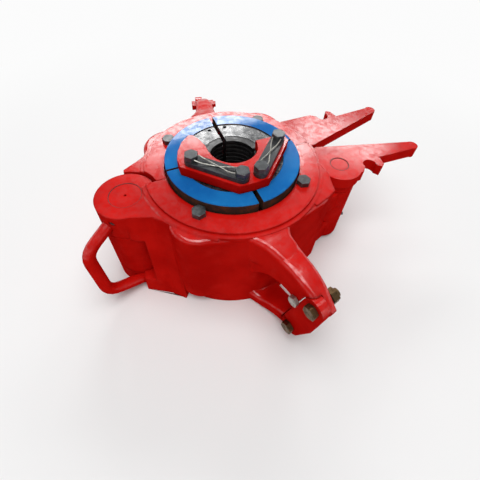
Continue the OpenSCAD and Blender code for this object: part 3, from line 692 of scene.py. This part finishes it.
def polar(radius: float, angle: float, level: float = 0.0) -> Vector:
    """Point at a radius, an angle in degrees and a level."""
    turn = math.radians(angle)
    return Vector((radius * math.cos(turn), radius * math.sin(turn), level))


def scene_object(name: str, data: bpy.types.ID) -> Piece:
    """Puts an object into the scene.

    Args:
        name: object name.
        data: its mesh, lamp or camera.

    Returns:
        The new object.
    """
    piece = bpy.data.objects.new(name, data)
    bpy.context.scene.collection.objects.link(piece)
    return piece


def mesh_object(name: str, mesh: bmesh.types.BMesh) -> Piece:
    """Puts a finished mesh into the scene.

    Args:
        name: object name.
        mesh: the mesh, which is freed.

    Returns:
        The new object.
    """
    data = bpy.data.meshes.new(name)
    mesh.to_mesh(data)
    mesh.free()
    return scene_object(name, data)


def loft(name: str, rings: Sequence[Sequence[Vector]], closed: bool = False) -> Piece:
    """Closed surface through rings of equal length.

    Args:
        name: object name.
        rings: outlines from one end to the other.
        closed: whether the last ring joins the first, instead of a cap on each.

    Returns:
        The new object.
    """
    mesh = bmesh.new()
    rows = [[mesh.verts.new(point) for point in ring] for ring in rings]
    count = len(rows[0])
    for low, high in zip(rows, rows[1:] + rows[:1] if closed else rows[1:]):
        for k in range(count):
            mesh.faces.new((low[k], low[(k + 1) % count], high[(k + 1) % count], high[k]))
    if not closed:
        mesh.faces.new(rows[0][::-1])
        mesh.faces.new(rows[-1])
    bmesh.ops.recalc_face_normals(mesh, faces=mesh.faces)
    return mesh_object(name, mesh)


def wire_loop(name: str, path: Sequence[Vector], radius: float, sides: int = 10) -> Piece:
    """Round wire or bead along a closed path.

    Args:
        name: object name.
        path: points of the centre line.
        radius: radius of the wire.
        sides: facets round it.

    Returns:
        The new object.
    """
    rings = []
    side = Vector(UP)
    for i, point in enumerate(path):
        run = (path[(i + 1) % len(path)] - path[i - 1]).normalized()
        side = (side - run * side.dot(run)).normalized()
        across = run.cross(side)
        rings.append([point + radius * (side * math.cos(t) + across * math.sin(t)) for t in circle(sides)])
    wire = loft(name, rings, closed=True)
    for face in wire.data.polygons:
        face.use_smooth = True
    return wire


def joint_line(pin: str, wire: float, sides: int = 64) -> Piece:
    """Dark line of painted shade in the gap round a pin's top.

    Args:
        pin: the pin's CAD node.
        wire: radius of the line.
        sides: corners round the pin.

    Returns:
        The line, which rides with the pin.
    """
    low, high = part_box(pin)
    centre = (low + high) / 2
    radius = (high.x - low.x) / 2
    x, y, z = centre.x, centre.y, high.z + wire * GAP_SHADE_PROUD
    path = [Vector((x + radius * math.cos(t), y + radius * math.sin(t), z)) for t in circle(sides)]
    line = wire_loop(f"{pin}_joint_line", path, wire)
    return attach(line, body_of(frame["nodes"][pin])[0])


def far_end(node: str, axis: Vector) -> Vector:
    """Far end of a bolt.

    Args:
        node: the bolt's CAD node.
        axis: direction of the bolt.

    Returns:
        The highest point along the axis, on the bolt's centre line.
    """
    along = [v.co.dot(axis) for v in frame["nodes"][node].data.vertices]
    low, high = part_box(node)
    middle = (low + high) / 2
    middle -= axis * middle.dot(axis)
    return middle + axis * max(along)


@dataclass
class EarSaddle:
    """Root of a lifting ear, which swells up and out into the drum.

    Attributes:
        base: distance from the bore axis about which the ear is tilted.
        tilt: tilt towards the latch, in degrees.
        start: distance of the inner end.
        stop: distance of the outer end, inside the ear.
        half_width: half width of the ear's straight stretch.
        run: distance at which the ear starts to widen.
        flare: widening towards the hinge at the base.
        shoulder: distance at which the latch side turns out.
        shoulder_r: how slowly it turns out.
        top: level of the ear's top.
        lift: how far the root rises over it.
        lift_run: distances between which it rises.
        floor: level of the saddle's underside, inside the ear.
        corner: rounding of its upper edges.
        corner_steps: facets of that rounding.
        proud: how far it stands over the ear's own sides.
        dive: how many times that height it sinks at its outer end.
        dive_start: share of its run at which it starts to sink.
        rows: outlines along it.
    """

    base: float = 0.150
    tilt: float = EAR_TILT
    start: float = 0.160
    stop: float = 0.252
    half_width: float = 0.022
    run: float = 0.262
    flare: float = 0.046
    shoulder: float = 0.206
    shoulder_r: float = 0.012
    top: float = 0.219
    lift: float = 0.0148
    lift_run: Pair = (0.248, 0.182)
    floor: float = 0.168
    corner: float = 0.011
    corner_steps: int = 6
    proud: float = 0.0004
    dive: float = 9.0
    dive_start: float = 0.7
    rows: int = 20

    def ring(self, s: float, side: float) -> List[Vector]:
        """Outline at one distance.

        Args:
            s: distance from the bore axis.
            side: -1 for the front ear, 1 for the back ear.

        Returns:
            The outline's points.
        """
        far = min(1.0, max(0.0, (s - self.start) / (self.stop - self.start)))
        spare = self.proud * (1.0 - self.dive * max(0.0, far - self.dive_start) / (1.0 - self.dive_start))
        share = min(1.0, max(0.0, (self.lift_run[0] - s) / (self.lift_run[0] - self.lift_run[1])))
        high = self.top + spare + self.lift * share * share * (3 - 2 * share)
        near = max(0.0, (self.run - s) / (self.run - self.base))
        left = -self.half_width - self.flare * near * near - spare
        out = max(0.0, self.shoulder - s)
        right = self.half_width + spare + out * out / (out + self.shoulder_r)
        outline = [(left, self.floor), (right, self.floor)]
        turns = steps(0.0, math.pi / 2, self.corner_steps)
        by_cosine = [self.corner * (1 - math.cos(t)) for t in turns]
        by_sine = [self.corner * (1 - math.sin(t)) for t in turns]
        outline += [(right - across, high - down) for across, down in zip(by_cosine, by_sine)]
        outline += [(left + across, high - down) for across, down in zip(by_sine, by_cosine)]
        return [self.put(x, s, z, side) for x, z in outline]

    def put(self, x: float, s: float, z: float, side: float) -> Vector:
        """Point of the ear in the elevator's frame, from its place across, along and up."""
        turned = Matrix.Rotation(math.radians(self.tilt), 3, "Z") @ Vector((x, self.base - s, z))
        return Vector((turned.x, side * (self.base - turned.y), turned.z))

    def build(self, face: str) -> Piece:
        """Makes the saddle of one ear.

        Args:
            face: front or back.

        Returns:
            The saddle.
        """
        side = -1.0 if face == "front" else 1.0
        run = steps(self.start, self.stop, self.rows)
        return loft(f"{face}_ear_saddle", [self.ring(s, side) for s in run])


@dataclass
class Castings:
    """The two body halves, with the webs and saddles that the casting flows through.

    Attributes:
        drum_r: radius of the drum.
        lobe_r: radius of a lobe.
        lobe_centre_r: distance of a lobe from the bore axis.
        lobe_angle: half angle between a lobe and the parting plane, in degrees.
        web_rows: level and inset of each outline of a web.
        web_inner_r: radius inside the drum that the fills reach.
        skirt_rows: level and radius of each outline of the drum's drafted skirt.
        skirt_span: angles the front skirt covers, in degrees.
        skirt_steps: facets of the skirt.
        wall_rows: level, then the three corners of the front hinge wall in plan.
        wall_bend: shares of the wall's two stretches between which its corner is rounded.
        wall_steps: facets of that rounding.
        wall_inner: way from the corner to a point inside the casting.
        foot_rows: level and overhang of each outline of that wall's foot.
        foot_out: direction in which the foot stands out.
        foot_depth: how deep the foot reaches into the wall.
        fillet_span: angles the shoulder's fillet covers, in degrees.
        fillet_levels: level of the fillet's underside, of its top and of its foot.
        fillet_width: width of the fillet.
        fillet_steps: facets of the fillet.
        crease: sharpest angle that is shaded smooth, in degrees.
        merge: distance within which corners are one.
    """

    drum_r: float = 0.189
    lobe_r: float = 0.057
    lobe_centre_r: float = 0.152
    lobe_angle: float = 45.0
    web_rows: Tuple[Pair, ...] = (
        (0.027, 0.004), (0.032, 0.0), (0.222, 0.0), (0.2275, 0.0018), (0.2305, 0.005), (0.2316, 0.009),
    )
    web_inner_r: float = 0.150
    skirt_rows: Tuple[Pair, ...] = ((0.0005, 0.1955), (0.06, 0.1940), (0.225, 0.1893))
    skirt_span: Pair = (226.0, 300.0)
    skirt_steps: int = 24
    wall_rows: Tuple[Tuple[float, ...], ...] = (
        (0.0005, -0.210, -0.087, -0.181, -0.119, -0.160, -0.1387),
        (0.2315, -0.210, -0.061, -0.181, -0.080, -0.160, -0.1075),
    )
    wall_bend: Pair = (0.25, 0.8)
    wall_steps: int = 10
    wall_inner: Triple = (0.03, 0.05, 0.0)
    foot_rows: Tuple[Pair, ...] = ((0.0, 0.0014), (0.005, 0.0014), (0.009, -0.001))
    foot_out: Triple = (-0.66, -0.75, 0.0)
    foot_depth: float = 0.02
    fillet_span: Pair = (188.0, 241.0)
    fillet_levels: Triple = (0.229, 0.2349, 0.2321)
    fillet_width: float = 0.0032
    fillet_steps: int = 44
    crease: float = 32.0
    merge: float = 1e-6

    def web(self, name: str, angle: float, hand: float) -> Piece:
        """Fills the groove between a lobe and the drum up to their common tangent.

        Args:
            name: object name.
            angle: direction of the lobe from the bore axis, in degrees.
            hand: 1 or -1 for the lobe's two sides.

        Returns:
            The web.
        """
        lean = math.degrees(math.acos((self.drum_r - self.lobe_r) / self.lobe_centre_r))
        out = angle + hand * lean
        rings = []
        for level, inset in self.web_rows:
            shift = polar(-inset, out)
            on_drum = polar(self.drum_r, out, level) + shift
            on_lobe = polar(self.lobe_centre_r, angle, level) + polar(self.lobe_r, out) + shift
            inner = polar(self.web_inner_r, angle + hand * lean / 2, level)
            rings.append([on_drum, on_lobe, inner])
        return loft(name, rings)

    def skirt(self) -> Piece:
        """Draft on the front of the drum, which widens towards its foot.

        Returns:
            The skirt.
        """
        angles = steps(*self.skirt_span, self.skirt_steps)
        rings = []
        for level, radius in self.skirt_rows:
            outer = [polar(radius, a, level) for a in angles]
            rings.append(outer + [polar(self.web_inner_r, a, level) for a in reversed(angles)])
        return loft("front_skirt", rings)

    def wall_fill(self) -> Piece:
        """Rounds the hollow corner of the front hinge wall.

        Returns:
            The fill.
        """
        rings = []
        for level, ax, ay, bx, by, cx, cy in self.wall_rows:
            start, bend, end = Vector((ax, ay, level)), Vector((bx, by, level)), Vector((cx, cy, level))
            first, last = start.lerp(bend, self.wall_bend[0]), bend.lerp(end, self.wall_bend[1])
            turns = steps(0.0, 1.0, self.wall_steps)
            curve = [first.lerp(bend, t).lerp(bend.lerp(last, t), t) for t in turns]
            rings.append(curve + [bend + Vector(self.wall_inner)])
        return loft("front_wall_fill", rings)

    def wall_foot(self) -> Piece:
        """Straight foot along the front hinge wall.

        Returns:
            The foot.
        """
        _, ax, ay, bx, by, cx, cy = self.wall_rows[0]
        out = Vector(self.foot_out)
        rings = []
        for level, overhang in self.foot_rows:
            line = [Vector((x, y, level)) for x, y in ((ax, ay), (bx, by), (cx, cy))]
            outer = [point + out * overhang for point in line]
            rings.append(outer + [point - out * self.foot_depth for point in reversed(line)])
        return loft("front_wall_foot", rings)

    def shoulder_fillet(self) -> Piece:
        """Fillet from the drum's shoulder down to the top of the front hinge lobe.

        Returns:
            The fillet.
        """
        low, high, foot = self.fillet_levels
        inner, reach = self.web_inner_r, self.drum_r + self.fillet_width
        section = ((inner, low), (inner, high), (self.drum_r, high), (reach, foot), (reach, low))
        angles = steps(*self.fillet_span, self.fillet_steps)
        rings = [[polar(radius, angle, level) for radius, level in section] for angle in angles]
        return loft("front_shoulder_fillet", rings)

    def merged(self, face: str, fills: Sequence[Piece]) -> Piece:
        """One casting from a CAD half and its fills.

        Args:
            face: front or back.
            fills: closed solids that join the casting.

        Returns:
            The casting, in place of the CAD half.
        """
        node = f"{face}_body_half"
        half = frame["nodes"][node]
        mesh = bmesh.new()
        mesh.from_mesh(half.data)
        mesh.transform(half.matrix_world)
        bmesh.ops.remove_doubles(mesh, verts=mesh.verts, dist=self.merge)
        casting = mesh_object(f"{face}_casting", mesh)
        for fill in fills:
            joined = casting.modifiers.new(fill.name, "BOOLEAN")
            joined.operation, joined.solver, joined.object = "UNION", "EXACT", fill
        bpy.context.view_layer.update()
        seen = casting.evaluated_get(bpy.context.evaluated_depsgraph_get())
        casting.data = bpy.data.meshes.new_from_object(seen)
        casting.modifiers.clear()
        for fill in fills:
            bpy.data.objects.remove(fill)
        self.smooth(casting)
        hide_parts(node)
        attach(casting, body_of(half)[0])
        return casting

    def smooth(self, casting: Piece) -> None:
        """Shades a casting smooth between its creases.

        Args:
            casting: the joined casting, which still has the CAD half's own normals.
        """
        stale = casting.data.attributes.get("custom_normal")
        if stale:
            casting.data.attributes.remove(stale)
        for polygon in casting.data.polygons:
            polygon.use_smooth = True
        casting.data.set_sharp_from_angle(angle=math.radians(self.crease))
        weighted = casting.modifiers.new("even_normals", "WEIGHTED_NORMAL")
        weighted.keep_sharp = True

    def build(self) -> Dict[str, Piece]:
        """Makes both castings.

        Returns:
            The castings by face.
        """
        ear = EarSaddle()
        low, high = 180.0 + self.lobe_angle, 360.0 - self.lobe_angle
        front = [
            ear.build("front"), self.skirt(), self.wall_fill(), self.web("front_hinge_web", low, 1.0),
            self.web("front_latch_web", high, -1.0), self.wall_foot(), self.shoulder_fillet(),
        ]
        back = [
            ear.build("back"), self.web("back_hinge_web", 180.0 - self.lobe_angle, -1.0),
            self.web("back_latch_web", self.lobe_angle, 1.0),
        ]
        return {"front": self.merged("front", front), "back": self.merged("back", back)}

    def dress(self, wardrobe: Wardrobe) -> None:
        """Paints both halves.

        Args:
            wardrobe: the finishes.
        """
        castings = self.build()
        for face in FACES:
            wardrobe.dress(castings[face], Finish.CAST_RED)
            wardrobe.dress_nodes(Finish.SCREW, f"{face}_top_screws")


@dataclass
class Hinge:
    """Hinge pin, its lock screw and the carry handle.

    Attributes:
        gap_shade: radius of the line of painted shade in the gap round the pin.
    """

    gap_shade: float = 0.0008

    def dress(self, wardrobe: Wardrobe) -> None:
        """Paints the pin and the handle.

        Args:
            wardrobe: the finishes.
        """
        wardrobe.dress_nodes(Finish.RED, "hinge_pin", "carry_handle")
        wardrobe.dress_nodes(Finish.SCREW, "hinge_pin_lock_screw")
        # Painted shade line in the gap round the pin's top.
        wardrobe.dress(joint_line("hinge_pin", self.gap_shade), Finish.GAP_SHADE)


@dataclass
class Latch:
    """Latch with its pin, keeper and spring.

    Attributes:
        gap_shade: radius of the line of painted shade in the gap round the pin.
    """

    gap_shade: float = 0.0011

    def dress(self, wardrobe: Wardrobe) -> None:
        """Paints the latch and its pin.

        Args:
            wardrobe: the finishes.
        """
        wardrobe.dress_nodes(Finish.RED, "latch", "latch_pin")
        wardrobe.dress_nodes(Finish.SCREW, "latch_pin_keeper")
        wardrobe.dress_nodes(Finish.WIRE, "latch_spring")
        # Painted shade line in the gap round the pin's top.
        wardrobe.dress(joint_line("latch_pin", self.gap_shade), Finish.GAP_SHADE)


@dataclass
class Slips:
    """Four slips, each a flange, a wedge, a die and its lift springs.

    Attributes:
        travel: how far the flanges come down on their springs; not used.
    """

    travel: float = 0.0149

    def springs(self, side: str) -> Piece:
        """Lift springs, copied from their CAD node to ride with their slip.

        Args:
            side: the slip.

        Returns:
            The springs, in place of the CAD node.
        """
        node = f"lift_springs_{side}"
        cad = frame["nodes"][node]
        coils = scene_object(f"coils_{side}", cad.data.copy())
        coils.matrix_world = cad.matrix_world
        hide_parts(node)
        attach(coils, body_of(cad)[0])
        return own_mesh(coils)

    def dress(self, wardrobe: Wardrobe) -> None:
        """Paints the flanges and oils the rest.

        Args:
            wardrobe: the finishes.
        """
        for side in SLIP_SIDES:
            paint = Finish.OILED_BLUE if side.startswith("back") else Finish.BLUE
            wardrobe.dress_nodes(paint, f"slip_flange_{side}")
            wardrobe.dress_nodes(Finish.SLIP, f"slip_wedge_{side}")
            wardrobe.dress_nodes(Finish.DIE, f"slip_die_{side}")
            wardrobe.dress(self.springs(side), Finish.WIRE)


@dataclass
class SettingGear:
    """Setting plate with its straps, bolts and lock wire."""

    def dress(self, wardrobe: Wardrobe) -> None:
        """Paints the plate and finishes what holds it.

        Args:
            wardrobe: the finishes.
        """
        wardrobe.dress_nodes(Finish.RED, "setting_plate")
        for hand in HANDS:
            wardrobe.dress_nodes(Finish.STRAP, f"strap_{hand}")
            wardrobe.dress_nodes(Finish.SCREW, f"strap_bolts_{hand}")
            wardrobe.dress_nodes(Finish.WIRE, f"lock_wire_{hand}")


@dataclass
class Ears:
    """Link blocks and bolts of the lifting ears.

    Attributes:
        tilt: tilt of the ears towards the latch, in degrees.
        ring_bolt: bolt whose end the wire ring hangs on.
        ring_r: radius of the wire ring.
        ring_wire: radius of its wire.
        ring_inset: distance of the ring from the bolt's end.
        ring_points: corners round it.
    """

    tilt: float = EAR_TILT
    ring_bolt: str = "ear_bolt_back"
    ring_r: float = 0.0095
    ring_wire: float = 0.0012
    ring_inset: float = 0.004
    ring_points: int = 28

    def wire_ring(self) -> Piece:
        """Hangs a ring of wire on the end of the back ear's cross bolt.

        Returns:
            The ring, which rides with the bolt.
        """
        turn = math.radians(self.tilt)
        axis = Vector((math.cos(turn), -math.sin(turn), 0.0))
        level = Vector((math.sin(turn), math.cos(turn), 0.0))
        end = far_end(self.ring_bolt, axis) - axis * self.ring_inset
        up = Vector(UP)
        turns = circle(self.ring_points)
        path = [end + self.ring_r * (math.cos(t) * level + math.sin(t) * up) for t in turns]
        ring = wire_loop("back_wire_ring", path, self.ring_wire)
        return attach(ring, body_of(frame["nodes"][self.ring_bolt])[0])

    def dress(self, wardrobe: Wardrobe) -> None:
        """Paints the blocks and finishes the bolts.

        Args:
            wardrobe: the finishes.
        """
        wardrobe.dress_nodes(Finish.RED, *(f"link_block_{face}" for face in FACES))
        wardrobe.dress_nodes(Finish.ZINC, "link_hinge_bolt_front", "link_lock_bolt_front")
        wardrobe.dress_nodes(Finish.WIRE, "ear_bolt_front")
        wardrobe.dress_nodes(Finish.RED, "link_hinge_bolt_back", "link_lock_bolt_back", "ear_bolt_back")
        wardrobe.dress(self.wire_ring(), Finish.WIRE)


@dataclass(frozen=True)
class PhotoCamera:
    """Camera fitted to the slip ring in the photograph.

    Attributes:
        eye: camera position.
        azimuth: heading of the view, in degrees from +Y towards +X.
        elevation: how far the view looks down, in degrees.
        roll: turn about the view's own axis, in degrees.
        focal_px: focal length in pixels.
        frame_px: side of the square photograph in pixels.
        centre_rise_px: how far the optical axis lies above the picture's middle.
        nearest: distance from which things are shown.
    """

    eye: Triple = (-0.1910, -0.4502, 0.6912)
    azimuth: float = 25.16
    elevation: float = 46.9
    roll: float = 3.19
    focal_px: float = 317.18
    frame_px: float = 480.0
    centre_rise_px: float = 55.0
    nearest: float = 0.01

    def build(self) -> None:
        """Makes the camera and hands it to the scene."""
        data = bpy.data.cameras.new("photo_camera")
        data.sensor_fit = "HORIZONTAL"
        data.lens = data.sensor_width * self.focal_px / self.frame_px
        data.shift_y = -self.centre_rise_px / self.frame_px
        data.clip_start = self.nearest
        camera = scene_object("photo_camera", data)
        camera.matrix_world = Matrix.Translation(self.eye) @ self.turn().to_4x4()
        bpy.context.scene.camera = camera

    def turn(self) -> Matrix:
        """Rotation of the camera.

        Returns:
            A matrix with the camera's right, up and backward directions as columns.
        """
        heading, dip, roll = (math.radians(a) for a in (self.azimuth, self.elevation, self.roll))
        level = math.cos(dip)
        ahead = Vector((math.sin(heading) * level, math.cos(heading) * level, -math.sin(dip)))
        right = Vector((math.cos(heading), -math.sin(heading), 0.0))
        up = right.cross(ahead)
        rolled_right = right * math.cos(roll) + up * math.sin(roll)
        rolled_up = up * math.cos(roll) - right * math.sin(roll)
        return Matrix((rolled_right, rolled_up, -ahead)).transposed()


@dataclass(frozen=True)
class Softbox:
    """Large area lamp.

    Attributes:
        name: lamp name.
        bearing: heading from +Y towards +X and height over the horizon, in degrees.
        size: width and height.
        power: watts.
        distance: how far it hangs from its aim.
        aim: the point it faces.
    """

    name: str
    bearing: Pair
    size: Pair
    power: float
    distance: float = 2.9
    aim: Triple = (0.0, 0.0, 0.24)

    def build(self) -> None:
        """Hangs the lamp."""
        data = bpy.data.lights.new(self.name, "AREA")
        data.shape = "RECTANGLE"
        data.size, data.size_y = self.size
        data.energy = self.power
        lamp = scene_object(self.name, data)
        heading, height = (math.radians(angle) for angle in self.bearing)
        level = Vector((math.sin(heading), math.cos(heading), 0.0)) * math.cos(height)
        outwards = level + Vector((0.0, 0.0, math.sin(height)))
        lamp.location = Vector(self.aim) + outwards * self.distance
        lamp.visible_camera = False
        lamp.rotation_euler = (-outwards).to_track_quat("-Z", "Y").to_euler()


@dataclass(frozen=True)
class Studio:
    """Pale floor, soft light and plain surroundings.

    Attributes:
        floor_side: side of the floor.
        floor_colour: its paint.
        floor_rough: roughness of the paint.
        sky: strength of the light from all round.
        surround: how bright the wall round the floor looks.
        wall_rise: sine of the heights between which that wall ends.
        fade: distances between which the floor fades to the surround.
        lamps: the softboxes.
    """

    floor_side: float = 12.0
    floor_colour: Colour = (0.80, 0.80, 0.80)
    floor_rough: float = 0.9
    sky: float = 0.2
    surround: float = 0.97
    wall_rise: Pair = (0.36, 0.46)
    fade: Pair = (0.4, 1.3)
    lamps: Tuple[Softbox, ...] = (
        Softbox("lower_left_window", (15.0, 32.8), (1.77, 0.24), 13.5),
        Softbox("lower_right_window", (50.5, 32.8), (0.92, 0.24), 7.4),
        Softbox("upper_left_pane", (11.0, 37.8), (1.18, 0.22), 8.5),
        Softbox("upper_right_pane", (39.0, 39.0), (0.40, 0.18), 4.2),
        Softbox("ceiling_light", (210.0, 79.0), (2.6, 2.6), 92.0),
    )

    def world(self) -> World:
        """Light from all round, with a low wall that only shows.

        Returns:
            The world.
        """
        graph = Graph(bpy.data.worlds.new("studio"), "ShaderNodeOutputWorld")
        light = graph.node("ShaderNodeBackground", {}, {"Color": WHITE, "Strength": self.sky})
        wall = graph.node("ShaderNodeBackground", {}, {"Color": WHITE, "Strength": self.surround})
        rise = graph.part(graph.node("ShaderNodeTexCoord", out="Generated"), 2)
        low = (1.0 - graph.ramp(rise, *self.wall_rise)) * graph.shown()
        return graph.close(graph.node("ShaderNodeMixShader", {}, {0: low, 1: light, 2: wall}))

    def floor_paint(self) -> Material:
        """Matt paint that fades to the surround.

        Returns:
            The floor's material.
        """
        graph = Graph(bpy.data.materials.new("pale_floor"))
        sockets = {"Base Color": self.floor_colour, "Roughness": self.floor_rough}
        paint = graph.node("ShaderNodeBsdfPrincipled", {}, sockets)
        glow = graph.node("ShaderNodeEmission", {}, {"Color": WHITE, "Strength": self.surround})
        reach = graph.node("ShaderNodeVectorMath", {"operation": "LENGTH"}, {0: graph.place()}, 1)
        away = graph.ramp(reach, *self.fade) * graph.shown()
        return graph.close(graph.node("ShaderNodeMixShader", {}, {0: away, 1: paint, 2: glow}))

    def build(self) -> None:
        """Lays the floor and hangs the lamps."""
        scene = bpy.context.scene
        scene.view_settings.view_transform = "Standard"
        scene.world = self.world()
        data = bpy.data.meshes.new("floor")
        half = self.floor_side / 2
        corners = [(-half, -half, 0.0), (half, -half, 0.0), (half, half, 0.0), (-half, half, 0.0)]
        data.from_pydata(corners, [], [(0, 1, 2, 3)])
        floor = scene_object("floor", data)
        data.materials.append(self.floor_paint())
        for lamp in self.lamps:
            lamp.build()


def main() -> None:
    """Builds the studio, the camera and every sub-assembly's looks."""
    logging.basicConfig(level=logging.INFO, format="%(name)s: %(message)s")
    Studio().build()
    PhotoCamera().build()
    wardrobe = Wardrobe()
    for assembly in (Castings(), Hinge(), Latch(), Slips(), SettingGear(), Ears()):
        assembly.dress(wardrobe)


if __name__ == "__main__":
    main()
